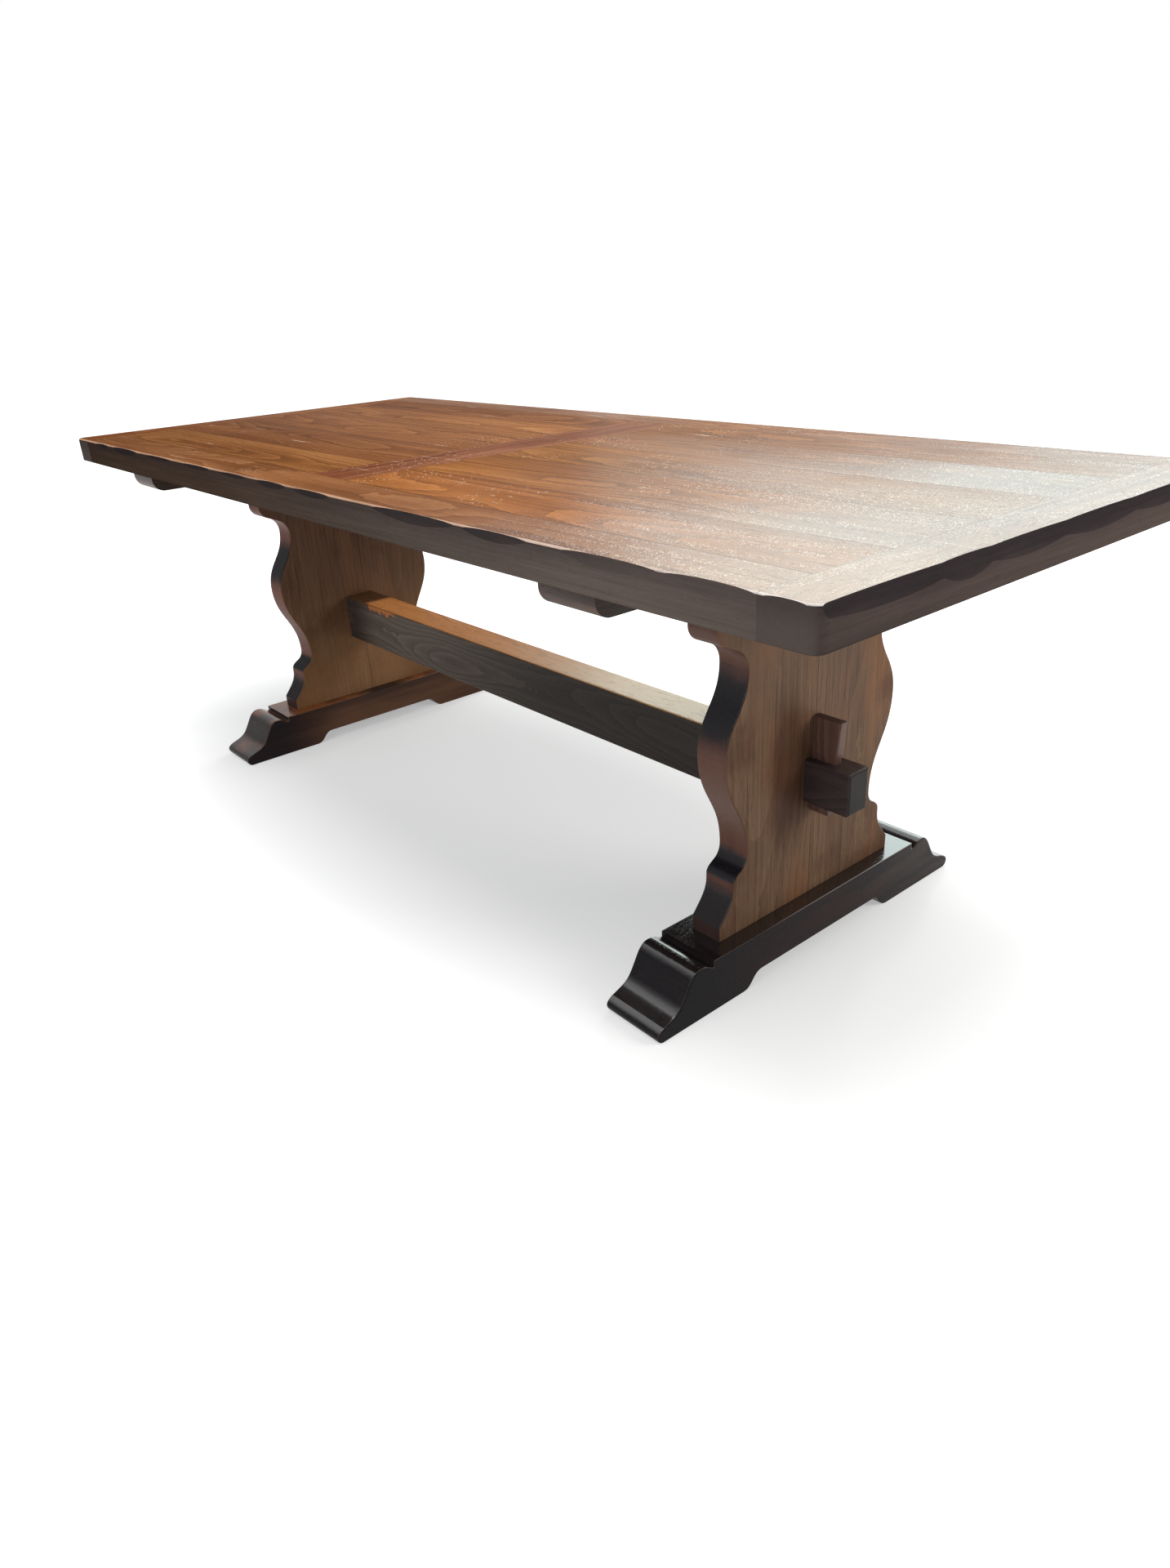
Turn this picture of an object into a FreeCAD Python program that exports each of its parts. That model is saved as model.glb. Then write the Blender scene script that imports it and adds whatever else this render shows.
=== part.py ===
import FreeCAD, Part
import math
import os

# Trestle table with a keyed stretcher, in millimetres.
# Origin on the floor under the middle of the top, X along the length, Y across, Z up.

# Overall sizes
table_length = 2260.0
table_width = 950.0
table_height = 770.0
trestle_spacing = 1474.0

# Table top
top_thickness = 52.0
top_corner_radius = 16.0
top_upper_round = 5.0
top_lower_round = 3.0
end_board_width = 78.0
side_rail_width = 88.0
middle_rail_width = 120.0
plank_width_shares = (0.18, 0.23, 0.22, 0.21, 0.16)
tongue_thickness = 12.0
tongue_reach = 14.0
tongue_end_gap = 1.0
groove_stop = 30.0
groove_clearance = 0.2

# Hewn arris of the top: a steep flat along each end, then scoops, each one cut of a wide round
# blade. A scoop starts and ends at shares of the edge's length, and its depth is a share of the
# deepest one
scoop_depth = 5.6
scoop_slope = 78.0
end_flat_depth = 3.3
flat_waste = 20.0
scoop_blade_length = 120.0
scoop_chord_share = 1.06
side_scoop_shares = (
    (0.058, 0.108, 0.35),
    (0.110, 0.190, 0.50),
    (0.195, 0.288, 0.31),
    (0.292, 0.372, 0.35),
    (0.376, 0.444, 0.31),
    (0.448, 0.509, 0.45),
    (0.509, 0.580, 0.40),
    (0.626, 0.735, 0.57),
    (0.732, 0.805, 0.50),
    (0.825, 0.907, 0.59),
    (0.905, 0.967, 0.68),
    (0.966, 0.996, 0.45),
)
end_scoop_shares = (
    (0.022, 0.219, 0.80),
    (0.219, 0.317, 1.00),
    (0.317, 0.486, 0.88),
    (0.486, 0.674, 0.90),
    (0.674, 0.847, 0.83),
    (0.847, 0.978, 0.86),
)

# Bearers
bearer_width = 110.0
bearer_depth = 33.0
bearer_length = 930.0
bearer_end_radius = 25.0

# Trestle panels, each of two boards that meet on the centre line
panel_thickness = 60.0
panel_base_width = 440.0
panel_arris_round = 2.5
panel_tenon_thickness = 30.0
panel_tenon_width = 120.0
panel_tenon_offset = 120.0
panel_tenon_into_foot = 50.0
panel_tenon_into_bearer = 24.0
panel_tongue_thickness = 14.0
panel_tongue_reach = 16.0
panel_tongue_margin = 40.0

# Feet
foot_length = 770.0
foot_width = 120.0
foot_height = 96.0
foot_arris_round = 3.0

# Stretcher, its through-tenons and the tusk wedges
stretcher_thickness = 74.0
stretcher_height = 109.0
stretcher_bottom = 246.0
stretcher_arris_round = 4.0
tenon_thickness = 48.0
tenon_height = 72.0
tenon_rise = 31.0
tenon_projection = 88.0
tenon_end_round = 4.0
wedge_thickness = 15.0
wedge_top_width = 55.0
wedge_bottom_width = 37.0
wedge_above_tenon = 73.0
wedge_below_tenon = 22.0
wedge_draw = 6.0
wedge_arris_round = 2.0

# Screws that hold the bearers to the top
screw_length = 66.0
screw_shank_diameter = 5.0
screw_head_diameter = 10.0
screw_head_depth = 3.0
screw_offset = 42.0
screwed_planks = (2, 4)

# Fits
joint_clearance = 0.25
mortise_end_gap = 1.0
wedge_clearance = 0.3
screw_clearance = 0.1
overrun = 10.0
same_place = 0.001

# Half outlines as stations: the half width and the height as shares, then the headings on
# which the line arrives and leaves, in degrees from outwards (0) round to upwards (90)
panel_outline_shares = (
    (1.000, 0.000, 90, 90),
    (1.000, 0.041, 90, 128),
    (0.855, 0.138, 92, 90),
    (0.855, 0.154, 90, 94),
    (0.775, 0.186, 150, 150),
    (0.714, 0.229, 90, 90),
    (0.941, 0.518, 90, 90),
    (0.727, 0.749, 90, 90),
    (0.836, 0.808, 22, 22),
    (0.945, 0.825, 22, 22),
    (1.027, 0.868, 90, 90),
    (1.027, 0.893, 90, 86),
    (1.164, 0.984, 52, 90),
    (1.164, 1.000, 90, 90),
)
foot_outline_shares = (
    (0.000, 0.270, 0, 0),
    (0.385, 0.270, 0, 0),
    (0.500, 0.000, 0, 0),
    (0.970, 0.000, 0, 0),
    (1.000, 0.130, 90, 90),
    (0.966, 0.271, 155, 159),
    (0.868, 0.490, 127, 124),
    (0.826, 0.775, 119, 119),
    (0.758, 0.990, 180, 180),
    (0.688, 0.885, 212, 180),
    (0.679, 0.885, 180, 90),
    (0.679, 1.000, 90, 180),
    (0.000, 1.000, 180, 180),
)
turn_handle_share = 0.37
swell_handle_share = 0.44
straight_share = 0.9995

# Places worked out from the sizes above
top_underside = table_height - top_thickness
groove_height = top_underside + top_thickness / 2
bearer_underside = top_underside - bearer_depth
panel_height = bearer_underside - foot_height
trestle_x = trestle_spacing / 2
field_half_length = table_length / 2 - end_board_width
field_half_width = table_width / 2 - side_rail_width
tenon_bottom = stretcher_bottom + tenon_rise
tenon_top = tenon_bottom + tenon_height
sides = ((-1, "left"), (1, "right"))
up = FreeCAD.Vector(0, 0, 1)
along_x = FreeCAD.Vector(1, 0, 0)
along_y = FreeCAD.Vector(0, 1, 0)


def box(x_span, y_span, z_span):
    """Box between two values on each axis, given in either order."""
    (x0, x1), (y0, y1), (z0, z1) = sorted(x_span), sorted(y_span), sorted(z_span)
    return Part.makeBox(x1 - x0, y1 - y0, z1 - z0, FreeCAD.Vector(x0, y0, z0))


def about(centre, size):
    """Span of a size about its centre."""
    return centre - size / 2, centre + size / 2


def edges_where(shape, chosen):
    return [edge for edge in shape.Edges if chosen(edge.BoundBox)]


def save(shape, node):
    shape.exportStep("parts/" + node + ".step")


def heading_vector(heading):
    angle = math.radians(heading)
    return FreeCAD.Vector(0, math.cos(angle), math.sin(angle))


def outline_edge(p, leaving, q, arriving):
    """Line, or curve that is tangent to both headings, from p to q."""
    along = (q - p).normalize()
    if min(along.dot(leaving), along.dot(arriving)) > straight_share:
        return Part.makeLine(p, q)
    swells = leaving.dot(arriving) > straight_share
    handle = (q - p).Length * (swell_handle_share if swells else turn_handle_share)
    curve = Part.BezierCurve()
    curve.setPoles([p, p + leaving * handle, q - arriving * handle, q])
    return curve.toShape()


def outline(stations, half_width, height, floor):
    """Half an outline in the YZ plane: its edges in order, and its first and last points."""
    points = [FreeCAD.Vector(0, half * half_width, floor + rise * height) for half, rise, _, _ in stations]
    edges = []
    for i in range(len(stations) - 1):
        leaving = heading_vector(stations[i][3])
        arriving = heading_vector(stations[i + 1][2])
        edges.append(outline_edge(points[i], leaving, points[i + 1], arriving))
    return edges, points[0], points[-1]


def screw_blank(x, y, grow):
    """Countersunk screw standing head down in a bearer, or its hole where it is grown."""
    head_radius = screw_head_diameter / 2 + grow
    shank_radius = screw_shank_diameter / 2 + grow
    end = screw_length + grow
    half = ((0, 0), (head_radius, 0), (shank_radius, screw_head_depth), (shank_radius, end), (0, end), (0, 0))
    place = FreeCAD.Vector(x, y, bearer_underside)
    face = Part.Face(Part.makePolygon([place + along_x * radius + up * rise for radius, rise in half]))
    return face.revolve(place, up, 360)


def plank_lines():
    """Y of every seam between the boards of a field, from front to back."""
    lines = [-field_half_width]
    for share in plank_width_shares:
        lines.append(lines[-1] + share * 2 * field_half_width)
    return lines


def screw_places(side):
    """Screws under both side rails and some planks, by turns on the two sides of the panel."""
    lines = plank_lines()
    rail_y = field_half_width + side_rail_width / 2
    rows = [-rail_y] + [(lines[number - 1] + lines[number]) / 2 for number in screwed_planks] + [rail_y]
    return [(side * trestle_x + screw_offset * (-1) ** i, y) for i, y in enumerate(rows)]


def screw_holes():
    return [screw_blank(x, y, screw_clearance) for side, _ in sides for x, y in screw_places(side)]


def facet_directions(outward):
    slope = math.radians(scoop_slope)
    facet_normal = outward * math.sin(slope) + up * math.cos(slope)
    down_slope = outward * math.cos(slope) - up * math.sin(slope)
    return facet_normal, down_slope


def steep_flat(start, end, outward, depth):
    """Cutter for the flat along a whole arris: a long block laid on the facet."""
    facet_normal, down_slope = facet_directions(outward)
    corner = start - facet_normal * depth - down_slope * (scoop_blade_length / 2)
    blade = Part.makeLine(corner, corner + down_slope * scoop_blade_length)
    return blade.extrude(facet_normal * flat_waste).extrude(end - start)


def scoop(arris_point, outward, length, flat_depth, depth):
    """Cutter for one scoop: a wide cylinder laid along the slope, of the given length at the flat."""
    facet_normal, down_slope = facet_directions(outward)
    rise = depth - flat_depth
    radius = length ** 2 / (8 * rise) + rise / 2
    start = arris_point + facet_normal * (radius - depth) - down_slope * (scoop_blade_length / 2)
    return Part.makeCylinder(radius, scoop_blade_length, start, down_slope)


def hewn_edge(start, end, outward, flat_depth, scoop_shares):
    """Scoops of uneven length and depth, one after another along an arris or along its flat."""
    run = end - start
    cutters = [steep_flat(start, end, outward, flat_depth)] if flat_depth else []
    for first, last, depth_share in scoop_shares:
        middle = start + run * ((first + last) / 2)
        chord = run.Length * (last - first) * scoop_chord_share
        cutters.append(scoop(middle, outward, chord, flat_depth, scoop_depth * depth_share))
    return cutters


def top_slab():
    """Outer form of the whole top: rounded corners, eased arrises, and scoops along the upper one."""
    half_length, half_width = table_length / 2, table_width / 2
    slab = box((-half_length, half_length), (-half_width, half_width), (top_underside, table_height))
    slab = slab.makeFillet(top_corner_radius, edges_where(slab, lambda b: b.ZLength > same_place))
    lower_arris = edges_where(slab, lambda b: b.ZMax < top_underside + same_place)
    slab = slab.makeFillet(top_lower_round, lower_arris)
    upper_arris = edges_where(slab, lambda b: b.ZMin > table_height - same_place)
    slab = slab.makeFillet(top_upper_round, upper_arris)
    front_left = FreeCAD.Vector(-half_length, -half_width, table_height)
    front_right = FreeCAD.Vector(half_length, -half_width, table_height)
    back_left = FreeCAD.Vector(-half_length, half_width, table_height)
    back_right = FreeCAD.Vector(half_length, half_width, table_height)
    cutters = hewn_edge(front_left, front_right, -along_y, 0, side_scoop_shares)
    cutters += hewn_edge(front_right, back_right, along_x, end_flat_depth, end_scoop_shares)
    cutters += hewn_edge(back_right, back_left, along_y, 0, side_scoop_shares)
    cutters += hewn_edge(back_left, front_left, -along_x, end_flat_depth, end_scoop_shares)
    for cutter in cutters:
        slab = slab.cut(cutter)
    return slab


def groove_span():
    return about(groove_height, tongue_thickness + 2 * groove_clearance)


def tongue_span():
    return about(groove_height, tongue_thickness)


def end_board(slab, side):
    """Board across one end, grooved on its inner edge for the tongues of the planks and rails."""
    inner = side * field_half_length
    outer = side * table_length / 2
    groove_bottom = inner + side * (tongue_reach + groove_clearance)
    groove_length = table_width - 2 * (groove_stop - groove_clearance)
    board = slab.common(box((inner, outer), about(0, table_width), (top_underside, table_height)))
    return board.cut(box((inner, groove_bottom), about(0, groove_length), groove_span()))


def side_rail(slab, holes, side):
    """Long board on the front (-1) or back (1) edge, tongued at both ends, grooved inside."""
    inner = side * field_half_width
    outer = side * table_width / 2
    groove_bottom = inner + side * (tongue_reach + groove_clearance)
    tongue_length = 2 * (field_half_length + tongue_reach - tongue_end_gap)
    rail = slab.common(box(about(0, 2 * field_half_length), (inner, outer), (top_underside, table_height)))
    rail = rail.cut(box(about(0, 2 * field_half_length), (inner, groove_bottom), groove_span()))
    tongue_outer = outer - side * groove_stop
    tongues = box(about(0, tongue_length), (groove_bottom, tongue_outer), tongue_span())
    return rail.fuse(tongues).removeSplitter().cut(holes)


def middle_rail():
    """Board across the centre, grooved on both long edges, tongued into the side rails."""
    half = middle_rail_width / 2
    tongue_length = 2 * (field_half_width + tongue_reach - tongue_end_gap)
    width = about(0, 2 * field_half_width)
    rail = box((-half, half), width, (top_underside, table_height))
    core = half - tongue_reach - groove_clearance
    grooves = [box((side * core, side * half), width, groove_span()) for side, _ in sides]
    tongues = box((-core, core), about(0, tongue_length), tongue_span())
    return rail.cut(grooves).fuse(tongues).removeSplitter()


def plank(holes, side, front, back):
    """Plank of one field, tongued at both ends and grooved along both long edges."""
    inner = side * middle_rail_width / 2
    outer = side * field_half_length
    reach = side * (tongue_reach - tongue_end_gap)
    depth = tongue_reach + groove_clearance
    board = box((inner, outer), (front, back), (top_underside, table_height))
    grooves = [box((inner, outer), (front, front + depth), groove_span())]
    grooves.append(box((inner, outer), (back - depth, back), groove_span()))
    tongue = box((inner - reach, outer + reach), (front + depth, back - depth), tongue_span())
    return board.cut(grooves).fuse(tongue).removeSplitter().cut(holes)


def plank_tongues(side):
    """Loose tongues in the seams of one field."""
    run = (side * middle_rail_width / 2, side * field_half_length)
    return Part.makeCompound([box(run, about(y, 2 * tongue_reach), tongue_span()) for y in plank_lines()])


def bearer(holes, side):
    """Rail under the top on one trestle, rounded under its ends, mortised for the panel."""
    x = side * trestle_x
    rail = box(about(x, bearer_width), about(0, bearer_length), (bearer_underside, top_underside))
    ends = edges_where(rail, lambda b: b.YLength < same_place and b.ZMax < bearer_underside + same_place)
    rail = rail.makeFillet(bearer_end_radius, ends)
    roof = bearer_underside + panel_tenon_into_bearer + mortise_end_gap
    return rail.cut(panel_mortises(x, bearer_underside - overrun, roof) + holes)


def panel_mortises(x, floor, roof):
    width = panel_tenon_width + 2 * joint_clearance
    span = about(x, panel_tenon_thickness + 2 * joint_clearance)
    return [box(span, about(side * panel_tenon_offset, width), (floor, roof)) for side, _ in sides]


def panel_blank():
    """Back half of the lyre panel, centred on X, with eased arrises."""
    half = panel_base_width / 2
    edges, base, crown = outline(panel_outline_shares, half, panel_height, foot_height)
    seam_base = FreeCAD.Vector(0, 0, base.z)
    seam_crown = FreeCAD.Vector(0, 0, crown.z)
    seam = [Part.makeLine(crown, seam_crown), Part.makeLine(seam_crown, seam_base)]
    face = Part.Face(Part.Wire(edges + seam + [Part.makeLine(seam_base, base)]))
    blank = face.extrude(along_x * panel_thickness).translated(along_x * (-panel_thickness / 2))
    arrises = edges_where(blank, lambda b: b.XLength < same_place and b.YMin > same_place)
    return blank.makeFillet(panel_arris_round, arrises)


def panel_tongue_runs():
    """Height spans of the loose tongues in a panel's seam, below and above the stretcher."""
    below = (foot_height + panel_tongue_margin, tenon_bottom - panel_tongue_margin)
    above = (tenon_top + panel_tongue_margin, bearer_underside - panel_tongue_margin)
    return below, above


def panel_board(side):
    """One board of a panel, centred on X: stub tenons, tongue grooves, half the stretcher mortise."""
    board = panel_blank()
    groove = panel_tongue_thickness + 2 * groove_clearance
    groove_depth = panel_tongue_reach + groove_clearance
    cuts = [box(about(0, groove), (0, groove_depth), (low - groove_clearance, high + groove_clearance))
            for low, high in panel_tongue_runs()]
    mortise_height = (tenon_bottom - joint_clearance, tenon_top + joint_clearance)
    mortise_depth = tenon_thickness / 2 + joint_clearance
    cuts.append(box(about(0, panel_thickness + 2 * overrun), (0, mortise_depth), mortise_height))
    tenon_heights = (foot_height - panel_tenon_into_foot, bearer_underside + panel_tenon_into_bearer)
    tenons = [box(about(0, panel_tenon_thickness), about(panel_tenon_offset, panel_tenon_width), span)
              for span in ((tenon_heights[0], foot_height), (bearer_underside, tenon_heights[1]))]
    board = board.cut(cuts).fuse(tenons).removeSplitter()
    return board if side > 0 else board.mirror(FreeCAD.Vector(), along_y)


def panel_tongues(side):
    """Loose tongues in the seam of one panel."""
    x_span = about(side * trestle_x, panel_tongue_thickness)
    y_span = about(0, 2 * panel_tongue_reach)
    return Part.makeCompound([box(x_span, y_span, run) for run in panel_tongue_runs()])


def foot(side):
    """Sledge foot: cyma toes, a quirk behind each crest, a relief below and mortises above."""
    edges, _, _ = outline(foot_outline_shares, foot_length / 2, foot_height, 0)
    front_edges = [edge.mirror(FreeCAD.Vector(), along_y) for edge in reversed(edges)]
    face = Part.Face(Part.Wire(edges + front_edges))
    blank = face.extrude(along_x * foot_width).removeSplitter()
    blank = blank.translated(along_x * (side * trestle_x - foot_width / 2))
    arrises = edges_where(blank, lambda b: b.XLength < same_place and b.ZMax > same_place)
    blank = blank.makeFillet(foot_arris_round, arrises)
    floor = foot_height - panel_tenon_into_foot - mortise_end_gap
    return blank.cut(panel_mortises(side * trestle_x, floor, foot_height + overrun))


def wedge_face(side):
    """X of the panel's outer face, where a wedge bears."""
    return side * (trestle_x + panel_thickness / 2)


def wedge_prism(side, inner_gap, outer_gap, thickness, low, high):
    """Tapered key between two heights, set off from the panel's face and grown at its outer edge."""
    bottom = tenon_bottom - wedge_below_tenon
    rise = wedge_above_tenon + tenon_height + wedge_below_tenon

    def outer(z):
        taper_share = (z - bottom) / rise
        width = wedge_bottom_width + taper_share * (wedge_top_width - wedge_bottom_width)
        return wedge_face(side) + side * (wedge_clearance + width + outer_gap)

    inner = wedge_face(side) + side * inner_gap
    corners = ((inner, low), (outer(low), low), (outer(high), high), (inner, high), (inner, low))
    points = [FreeCAD.Vector(x, -thickness / 2, z) for x, z in corners]
    return Part.Face(Part.makePolygon(points)).extrude(along_y * thickness)


def wedge(side):
    """Tusk wedge driven down through the tenon against the panel."""
    low = tenon_bottom - wedge_below_tenon
    high = tenon_top + wedge_above_tenon
    key = wedge_prism(side, wedge_clearance, 0, wedge_thickness, low, high)
    return key.makeFillet(wedge_arris_round, key.Edges)


def stretcher():
    """Rail between the trestles with a shouldered through-tenon and a key slot at each end."""
    shoulder = trestle_x - panel_thickness / 2
    end = trestle_x + panel_thickness / 2 + tenon_projection
    top = stretcher_bottom + stretcher_height
    rail = box((-shoulder, shoulder), about(0, stretcher_thickness), (stretcher_bottom, top))
    rail = rail.makeFillet(stretcher_arris_round, edges_where(rail, lambda b: b.XLength > same_place))
    tenon = box((-end, end), about(0, tenon_thickness), (tenon_bottom, tenon_top))
    tenon = tenon.makeFillet(tenon_end_round, edges_where(tenon, lambda b: b.XLength < same_place))
    slot_thickness = wedge_thickness + 2 * wedge_clearance
    slots = [wedge_prism(side, -wedge_draw, wedge_clearance, slot_thickness, tenon_bottom - overrun,
                         tenon_top + overrun) for side, _ in sides]
    return rail.fuse(tenon).removeSplitter().cut(slots)


def bearer_screws(side):
    """Screws of one bearer."""
    return Part.makeCompound([screw_blank(x, y, 0) for x, y in screw_places(side)])


os.makedirs("parts", exist_ok=True)
slab = top_slab()
holes = screw_holes()
lines = plank_lines()
save(side_rail(slab, holes, -1), "side_rail_front")
save(side_rail(slab, holes, 1), "side_rail_back")
save(middle_rail(), "middle_rail")
save(stretcher(), "stretcher")
for side, name in sides:
    save(end_board(slab, side), "end_board_" + name)
    for i in range(len(plank_width_shares)):
        save(plank(holes, side, lines[i], lines[i + 1]), "plank_" + name + "_" + str(i + 1))
    save(plank_tongues(side), "plank_tongues_" + name)
    save(bearer(holes, side), "bearer_" + name)
    save(bearer_screws(side), "bearer_screws_" + name)
    save(panel_board(-1).translated(along_x * (side * trestle_x)), "panel_" + name + "_front_board")
    save(panel_board(1).translated(along_x * (side * trestle_x)), "panel_" + name + "_back_board")
    save(panel_tongues(side), "panel_tongues_" + name)
    save(foot(side), "foot_" + name)
    save(wedge(side), "wedge_" + name)
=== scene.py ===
import math

import bmesh
import bpy
from mathutils import Euler, Matrix, Vector


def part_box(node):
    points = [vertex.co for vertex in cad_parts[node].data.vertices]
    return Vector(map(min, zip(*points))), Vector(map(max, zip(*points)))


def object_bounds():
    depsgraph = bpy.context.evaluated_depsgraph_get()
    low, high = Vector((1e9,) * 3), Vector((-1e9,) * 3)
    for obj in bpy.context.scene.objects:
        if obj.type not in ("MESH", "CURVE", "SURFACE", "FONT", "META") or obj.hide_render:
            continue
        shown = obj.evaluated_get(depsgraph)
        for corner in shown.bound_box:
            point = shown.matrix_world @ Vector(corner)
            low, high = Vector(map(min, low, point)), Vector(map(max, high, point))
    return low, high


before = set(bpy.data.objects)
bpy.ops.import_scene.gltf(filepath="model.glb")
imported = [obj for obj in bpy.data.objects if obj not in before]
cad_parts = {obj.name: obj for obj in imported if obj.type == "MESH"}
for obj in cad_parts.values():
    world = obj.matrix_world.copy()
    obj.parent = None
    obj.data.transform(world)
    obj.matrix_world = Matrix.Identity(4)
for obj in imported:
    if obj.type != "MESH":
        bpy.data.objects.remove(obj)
cad_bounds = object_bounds()

# Sledge feet
# Two heavy oak feet, sawn to a cyma outline at each toe and stained almost black.
# Each carries a trestle panel in a mortise. Shoes rubbed the left one brown, and painted sunlight lies orange
# in patches on its flat tops. The right one is waxed, and painted shade darkens its flat tops near black.
sides = (("left", -1), ("right", 1))


class Finish:
    """Shading nodes of one finish, added one by one."""

    def __init__(self, owner):
        owner.use_nodes = True
        owner.node_tree.nodes.clear()
        self.owner = owner

    def put(self, kind, values=None, **settings):
        """Adds a node. Each of its values is set on the input, or linked to it if it is an output."""
        tree = self.owner.node_tree
        node = tree.nodes.new(kind)
        for key, value in settings.items():
            setattr(node, key, value)
        for key, value in (values or {}).items():
            if isinstance(value, bpy.types.NodeSocket):
                tree.links.new(value, node.inputs[key])
            else:
                node.inputs[key].default_value = value
        return node

    def calc(self, operation, first, second=0.0, clamp=False):
        values = {0: first, 1: second}
        return self.put("ShaderNodeMath", values, operation=operation, use_clamp=clamp).outputs[0]

    def times(self, product, *shares):
        for share in shares:
            product = self.calc("MULTIPLY", product, share)
        return product

    def plus(self, total, *others):
        for other in others:
            total = self.calc("ADD", total, other)
        return total

    def minus(self, first, second):
        return self.calc("SUBTRACT", first, second)

    def unsigned(self, value):
        return self.calc("ABSOLUTE", value)

    def vector(self, operation, first, second):
        return self.put("ShaderNodeVectorMath", {0: first, 1: second}, operation=operation).outputs[0]

    def length(self, vector):
        return self.put("ShaderNodeVectorMath", {0: vector}, operation="LENGTH").outputs["Value"]

    def fade(self, value, low, high, at_low=0.0, at_high=1.0):
        """Level that runs smoothly from at_low to at_high while a value goes from low to high."""
        values = {"Value": value, "From Min": low, "From Max": high, "To Min": at_low, "To Max": at_high}
        return self.put("ShaderNodeMapRange", values, interpolation_type="SMOOTHSTEP").outputs[0]

    def uneven(self, pattern, least, most):
        """Level that wanders between two bounds with a pattern."""
        return self.fade(pattern, 0.3, 0.7, least, most)

    def blend(self, share, under, over):
        """Lays a share of one colour over another."""
        values = {0: share, 6: under, 7: over}
        return self.put("ShaderNodeMix", values, data_type="RGBA", clamp_factor=True).outputs[2]

    def ramp(self, value, stops):
        """Colour that follows a value through a row of places and shades."""
        node = self.put("ShaderNodeValToRGB", {"Fac": value})
        elements = node.color_ramp.elements
        while len(elements) < len(stops):
            elements.new(0.5)
        for element, (place, shade) in zip(elements, stops):
            element.position = place
            element.color = shade
        return node.outputs["Color"]

    def noise(self, place, scale=1.0, detail=3.0, roughness=0.55):
        values = {"Vector": place, "Scale": scale, "Detail": detail, "Roughness": roughness}
        return self.put("ShaderNodeTexNoise", values).outputs["Fac"]

    def dress(self, node):
        """Lays the finish on all of a piece."""
        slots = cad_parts[node].data.materials
        for number in range(len(slots)):
            slots[number] = self.owner


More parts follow.
